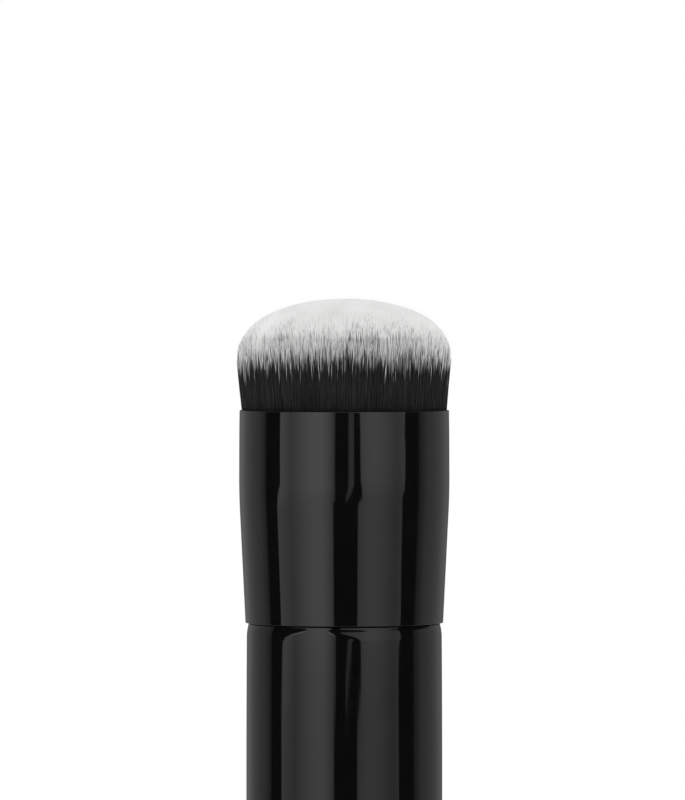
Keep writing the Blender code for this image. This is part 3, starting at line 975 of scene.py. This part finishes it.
# %% Finish of the core
DYE_HEIGHT = 0.00878
CORE_RAGGED = 0.0012
CORE_FADE_BELOW = 0.0008
CORE_FADE_ABOVE = 0.0016
CORE_STREAK_SCALE = 2600
CORE_STREAK_SHARE = 0.06
CORE_RELIEF = 0.0001

core_finish, tree, shader = new_finish("bristle_core")
place = add(tree, "ShaderNodeTexCoord").outputs["Object"]
long_way = {"Vector": place, "Scale": (1, 1, CORE_STREAK_SHARE)}
streaks = add(tree, "ShaderNodeMapping", long_way).outputs[0]
ragged = grain(tree, streaks, CORE_STREAK_SCALE, -CORE_RAGGED, CORE_RAGGED)
height = add(tree, "ShaderNodeSeparateXYZ", {0: place}).outputs[2]
shifted = calculated(tree, "ADD", height, ragged)
dye_line = mouth_z + DYE_HEIGHT
undyed = ramp(tree, shifted, dye_line - CORE_FADE_BELOW, dye_line + CORE_FADE_ABOVE)
tone = two_tone(tree, undyed, (0.012, 0.012, 0.012), (0.84, 0.84, 0.83))
tree.links.new(tone, shader.inputs["Base Color"])
dullness = grain(tree, streaks, CORE_STREAK_SCALE, 0.5, 0.7)
tree.links.new(dullness, shader.inputs["Roughness"])
roughen(tree, shader, noise(tree, streaks, CORE_STREAK_SCALE * 2, 1.0), CORE_RELIEF)
dress(bristle_core, "bristles", core_finish)

# %% [markdown]
# ## One fibre
#
# A synthetic fibre is thick at its root and drawn out to a fine tip, which is what makes the head
# soft. One is modelled by hand: a triangle is extruded three times and each end scaled down, and
# the last one is merged to a point. It has sixteen triangles, because it is copied tens of
# thousands of times.

# %% Model one fibre
FIBRE_LEVELS = (0.45, 0.78, 1.0)
FIBRE_WIDTHS = (0.95, 0.66, 0.0)

bpy.ops.object.select_all(action="DESELECT")
bpy.ops.mesh.primitive_circle_add(vertices=3, radius=1, fill_type="NGON")
fibre = bpy.context.object
bpy.ops.object.mode_set(mode="EDIT")
bpy.ops.mesh.select_all(action="SELECT")
level_before = 0.0
width_before = 1.0
for level, width in zip(FIBRE_LEVELS, FIBRE_WIDTHS):
    bpy.ops.mesh.extrude_region_move(
        TRANSFORM_OT_translate={"value": (0, 0, level - level_before)}
    )
    if width:
        bpy.ops.transform.resize(value=(width / width_before,) * 3, center_override=(0, 0, level))
    else:
        bpy.ops.mesh.merge(type="CENTER")
    level_before = level
    width_before = width
bpy.ops.mesh.select_all(action="SELECT")
bpy.ops.mesh.normals_make_consistent(inside=False)
bpy.ops.object.mode_set(mode="OBJECT")
print("one fibre:", len(fibre.data.vertices), "points,", len(fibre.data.polygons), "faces")

# %% [markdown]
# ## Where each fibre stands
#
# The roots fill the ferrule evenly but not in rows, as the seeds of a sunflower do, with small
# random shifts. Each fibre rises to the dome, spreads with the bundle, and leans a few degrees:
# partly with its neighbours, because fibres clump, and partly by itself. A hair system could
# scatter them too, but then the real outline of the dome, the mouth and the dye line would be
# harder to hold.

# %% Roots and tips
FIBRES = 64000
FIBRE_SEED = 11
ROOT_SHIFT_SHARE = 0.35
GOLDEN_ANGLE = math.pi * (3 - math.sqrt(5))
ROOT_DEPTH = 0.0008
SHOWN_LENGTH = 0.0060
SIDE_DEPTH_SHARE = 0.10
LENGTH_SCATTER = 0.00010
TIP_ROUNDS = 12

chance = np.random.default_rng(FIBRE_SEED)
order = np.arange(FIBRES) + 0.5
spacing = 1 / math.sqrt(FIBRES)
root_share = np.sqrt(order / FIBRES) + chance.normal(0, ROOT_SHIFT_SHARE * spacing, FIBRES)
root_share = 1 - np.abs(1 - root_share)
root_angle = order * GOLDEN_ANGLE + chance.normal(0, ROOT_SHIFT_SHARE * spacing, FIBRES)
# A tip's level depends on how far it has spread, and its spread on its level, so each round
# brings the two closer together.
tip_z = np.full(FIBRES, widest_z)
for _ in range(TIP_ROUNDS):
    tip_z = dome_level(root_share * bundle_radius(tip_z))
tip_z = tip_z + chance.normal(0, LENGTH_SCATTER, FIBRES)
side = root_share > 1 - SIDE_DEPTH_SHARE
foot_level = np.where(side, mouth_z - ROOT_DEPTH, tip_z - SHOWN_LENGTH)
foot_level = np.maximum(foot_level, mouth_z - ROOT_DEPTH)
print("fibres:", FIBRES, "of which at the side, from root to tip:", int(side.sum()))

# %% Lean of the fibres
LEAN = math.radians(2.0)
CLUMP_LEAN = math.radians(1.3)
CLUMP_WAVES = (9, 17, 31, 53, 90)
WAVE_TWIST = 3


def waves_round(angle, share, counts):
    """A smooth random field over the bundle, from waves of these counts round it."""
    field = np.zeros_like(angle)
    for count in counts:
        turn, phase = chance.uniform(0, math.tau, 2)
        field += np.sin(count * angle + turn + WAVE_TWIST * share * np.cos(angle + phase))
    return field / math.sqrt(len(counts))


around = waves_round(root_angle, root_share, CLUMP_WAVES) * CLUMP_LEAN
around += chance.normal(0, LEAN, FIBRES)
outward = -np.abs(chance.normal(0, LEAN / 2, FIBRES))
print("lean, in degrees:", round(math.degrees(float(np.std(around))), 2))

# %% [markdown]
# ## Copying the fibre
#
# NumPy bends each copy along its own line and writes all points at once, because a loop of
# operators would take hours for so many. Each copy also gets its place on a UV map: across the map
# lies the fibre's tone, with its painted light and shade, and up the map the distance from its dye
# line. So one small picture holds every fibre's colour, from black root to pale tip.

# %% Lines of the fibres
FIBRE_RADIUS = 0.000070
RADIUS_SCATTER_SHARE = 0.14
BOW = 0.00009
# The middle line of the head sways to the left, and back to the right towards the crown.
SWAY_LEFT = 0.00039
SWAY_BACK = 0.00062


def line_points(share):
    """Centres of all fibres at one share of their length, as an array of x, y and z."""
    height = foot_level + (tip_z - foot_level) * share
    rise = np.maximum(height - mouth_z, 0)
    bowed = np.sin(math.pi * share) * BOW * bow_side
    radius = root_share * bundle_radius(height) + rise * np.tan(outward)
    aside = rise * np.tan(around) + bowed
    x = radius * np.cos(root_angle) - aside * np.sin(root_angle)
    y = radius * np.sin(root_angle) + aside * np.cos(root_angle)
    far = np.maximum(np.hypot(x, y) / bundle_radius(height), 1)
    up = rise / (WIDEST_HEIGHT + DOME_HEIGHT)
    shift = SWAY_BACK * up**2 - SWAY_LEFT * up
    return np.stack([x / far + shift, y / far, height], axis=1)


bow_side = chance.uniform(-1, 1, FIBRES)
thickness = FIBRE_RADIUS * (1 + chance.normal(0, RADIUS_SCATTER_SHARE, FIBRES))
spin_angle = chance.uniform(0, math.tau, FIBRES)
print("root of a fibre, in millimetres:", round(float(thickness.mean()) * 2 * MILLIMETRES, 3))

# %% Dye line of each fibre
DYE_SCATTER_DOWN = 0.0016
DYE_SCATTER_UP = 0.0032
DYE_SHIFT_MOST = 1.7
DYE_STRAND_SHARE = 0.8
DYE_STRAND_WAVES = (83, 131, 197, 271)
DYE_REACH_SHARE = 0.28
DYE_REACH_WAVES = (5, 11, 23)
DYE_CLUMP = 0.0003
DYE_CLUMP_WAVES = (7, 16, 29, 60)
DYE_SWAY = 0.00075
DYE_TILT = 0.0001
UNDYED_SHARE = 0.004
UNDYED_DROP = (0.001, 0.006)

strand = waves_round(root_angle, root_share, DYE_STRAND_WAVES) * math.sqrt(2)
loose = chance.normal(0, math.sqrt(1 - DYE_STRAND_SHARE**2), FIBRES)
dye_shift = np.minimum(DYE_STRAND_SHARE * strand + loose, DYE_SHIFT_MOST)
reach = DYE_REACH_SHARE * waves_round(root_angle, root_share, DYE_REACH_WAVES)
scatter = np.where(dye_shift < 0, DYE_SCATTER_DOWN, DYE_SCATTER_UP * (1 + reach))
dye_z = mouth_z + DYE_HEIGHT + dye_shift * scatter
dye_z += waves_round(root_angle, root_share, DYE_CLUMP_WAVES) * DYE_CLUMP
dye_z -= np.cos(2 * root_angle) * DYE_SWAY - np.cos(root_angle) * DYE_TILT
undyed = chance.random(FIBRES) < UNDYED_SHARE
dye_z -= undyed * chance.uniform(*UNDYED_DROP, FIBRES)
print("dye above the mouth, in millimetres:", round(float(dye_z.mean() - mouth_z) * MILLIMETRES, 2))

# %% Tone of each fibre, with painted light and shade
TONE_WIDTH = 0.004
SHADE_PATCH_WIDTHS = (0.0045, 0.0070, 0.0110)
SHADE_PATCH_SHARE = 0.11
PATCH_WAYS = 3
PATCH_PHASE = 5
TONE_AND_HIGHLIGHT_SCATTER = 0.21


def shade_patches(x, y, widths):
    """Soft patches of painted light and shade over the bundle: waves of these widths, which cross
    it in a few directions.
    """
    field = np.zeros_like(x)
    for width in widths:
        for way in chance.uniform(0, math.tau, PATCH_WAYS):
            distance = (x * math.cos(way) + y * math.sin(way)) / width
            field += np.sin(math.tau * distance + way * PATCH_PHASE)
    return field


root_x = root_share * widest_radius * np.cos(root_angle)
root_y = root_share * widest_radius * np.sin(root_angle)
# Painted light and shade: soft lighter and darker patches over the head, where clumps of fibres are
# lit and shaded.
painted_shade = shade_patches(root_x, root_y, SHADE_PATCH_WIDTHS)
tone = 0.5 + SHADE_PATCH_SHARE * painted_shade / np.std(painted_shade)
# This scatter is partly each fibre's own tone and partly a painted highlight: single fibres made
# paler, as where they catch the light.
tone += chance.normal(0, TONE_AND_HIGHLIGHT_SCATTER, FIBRES)
tone = np.clip(tone, 0, 1 - TONE_WIDTH)
print("tone, from dark to light:", round(float(tone.min()), 2), "to", round(float(tone.max()), 2))

# %% Helper: write copies as a mesh
MAP_LENGTH = 0.024
NO_WIDTH = 0.01

unit = fibre.data
unit_points = np.zeros(len(unit.vertices) * 3)
unit.vertices.foreach_get("co", unit_points)
unit_points = unit_points.reshape(-1, 3)
corner_points = np.zeros(len(unit.loops), int)
unit.loops.foreach_get("vertex_index", corner_points)
face_starts = np.zeros(len(unit.polygons), int)
unit.polygons.foreach_get("loop_start", face_starts)
unit_turn = np.arctan2(unit_points[:, 1], unit_points[:, 0])
unit_width = np.hypot(unit_points[:, 0], unit_points[:, 1])
side_share = (unit_turn + math.pi) / math.tau
side_share[unit_width < NO_WIDTH] = 0.5


def fibre_piece(name, chosen):
    """One mesh that holds the chosen fibres, each a bent copy of the modelled one."""
    count = len(chosen)
    points = np.zeros((count, len(unit_points), 3), np.float32)
    for index, share in enumerate(unit_points[:, 2]):
        turn = unit_turn[index] + spin_angle[chosen]
        reach = unit_width[index] * thickness[chosen]
        points[:, index] = line_points(share)[chosen]
        points[:, index, 0] += reach * np.cos(turn)
        points[:, index, 1] += reach * np.sin(turn)
    above = (points[:, :, 2] - dye_z[chosen, None]) / MAP_LENGTH
    across = tone[chosen, None] + side_share[None, :] * TONE_WIDTH
    places = np.stack([across, np.clip(0.5 + above, 0, 1)], axis=2)[:, corner_points]
    mesh = bpy.data.meshes.new(name)
    mesh.vertices.add(count * len(unit_points))
    mesh.vertices.foreach_set("co", points.ravel())
    copies = np.arange(count)[:, None]
    mesh.loops.add(count * len(corner_points))
    mesh.loops.foreach_set(
        "vertex_index", (copies * len(unit_points) + corner_points[None, :]).ravel()
    )
    mesh.polygons.add(count * len(face_starts))
    mesh.polygons.foreach_set(
        "loop_start", (copies * len(corner_points) + face_starts[None, :]).ravel()
    )
    layer = mesh.uv_layers.new(name="OFBake")
    layer.uv.foreach_set("vector", places.astype(np.float32).ravel())
    mesh.update(calc_edges=True)
    mesh.shade_smooth()
    piece = bpy.data.objects.new(name, mesh)
    bpy.context.scene.collection.objects.link(piece)
    return piece


# %% [markdown]
# ## Dye and gloss of the fibres
#
# The fibre is white polyester whose lower part was dyed black. Each fibre's white comes from its
# place across the map: soft patches of painted light and shade over the head, and a scatter from
# fibre to fibre that is partly its own tone and partly a painted highlight on single paler fibres.
# Up the map the dye fades out over one to four millimetres. Fibres that clump in the dye share most
# of its level, it wicks up further in some places round the head than in others, and a few fibres
# missed part of it.

# %% Finish of the fibres
FADE_SHORT = 0.0012
FADE_LONG = 0.0038
FADE_SCALE = 90
WHITE_GRAIN = 0.15
WHITE_SCALE = 120
BLACK_SCALE = 150
GLOSS_SCALE = 200
LONG_GRAIN_SHARE = 0.12

fibre_finish, tree, shader = new_finish("fibre", IOR=1.35)
map_place = add(tree, "ShaderNodeUVMap", uv_map="OFBake").outputs[0]
across, up, _ = add(tree, "ShaderNodeSeparateXYZ", {0: map_place}).outputs
tone_line = add(tree, "ShaderNodeCombineXYZ", {0: across}).outputs[0]
fade = grain(tree, tone_line, FADE_SCALE, FADE_SHORT / MAP_LENGTH, FADE_LONG / MAP_LENGTH, 1.0)
above_dye = calculated(tree, "SUBTRACT", up, 0.5)
fades = calculated(tree, "DIVIDE", above_dye, fade)
pale_share = ramp(tree, fades, -0.5, 0.5, interpolation_type="SMOOTHSTEP")
long_way = {"Vector": map_place, "Scale": (1, LONG_GRAIN_SHARE, 1)}
long_grain = add(tree, "ShaderNodeMapping", long_way).outputs[0]
uneven = grain(tree, long_grain, WHITE_SCALE, -WHITE_GRAIN, WHITE_GRAIN)
# Across the map lies the fibre's tone with painted light and shade: soft patches, and single paler
# fibres as painted highlights.
whiteness_and_shade = calculated(tree, "ADD", across, uneven)
white_tone = two_tone(tree, whiteness_and_shade, (0.84, 0.84, 0.83), (1.0, 1.0, 0.995))
blackness = grain(tree, long_grain, BLACK_SCALE, 0.0, 1.0)
black_tone = two_tone(tree, blackness, (0.020, 0.020, 0.0205), (0.029, 0.029, 0.029))
dyed = add(tree, "ShaderNodeMix", {0: pale_share, 6: black_tone, 7: white_tone}, data_type="RGBA")
tree.links.new(dyed.outputs[2], shader.inputs["Base Color"])
tree.links.new(grain(tree, long_grain, GLOSS_SCALE, 0.50, 0.64), shader.inputs["Roughness"])

# %% Fill the head
FIBRES_A_PIECE = 10700

by_angle = np.argsort(np.mod(root_angle, math.tau))
triangles = 0
for number, start in enumerate(range(0, FIBRES, FIBRES_A_PIECE), 1):
    piece = fibre_piece(f"bristle_fibres_{number}", by_angle[start : start + FIBRES_A_PIECE])
    dress(piece, "bristles", fibre_finish)
    triangles += sum(len(face.vertices) - 2 for face in piece.data.polygons)
bpy.data.objects.remove(fibre)
print("fibre triangles:", triangles)
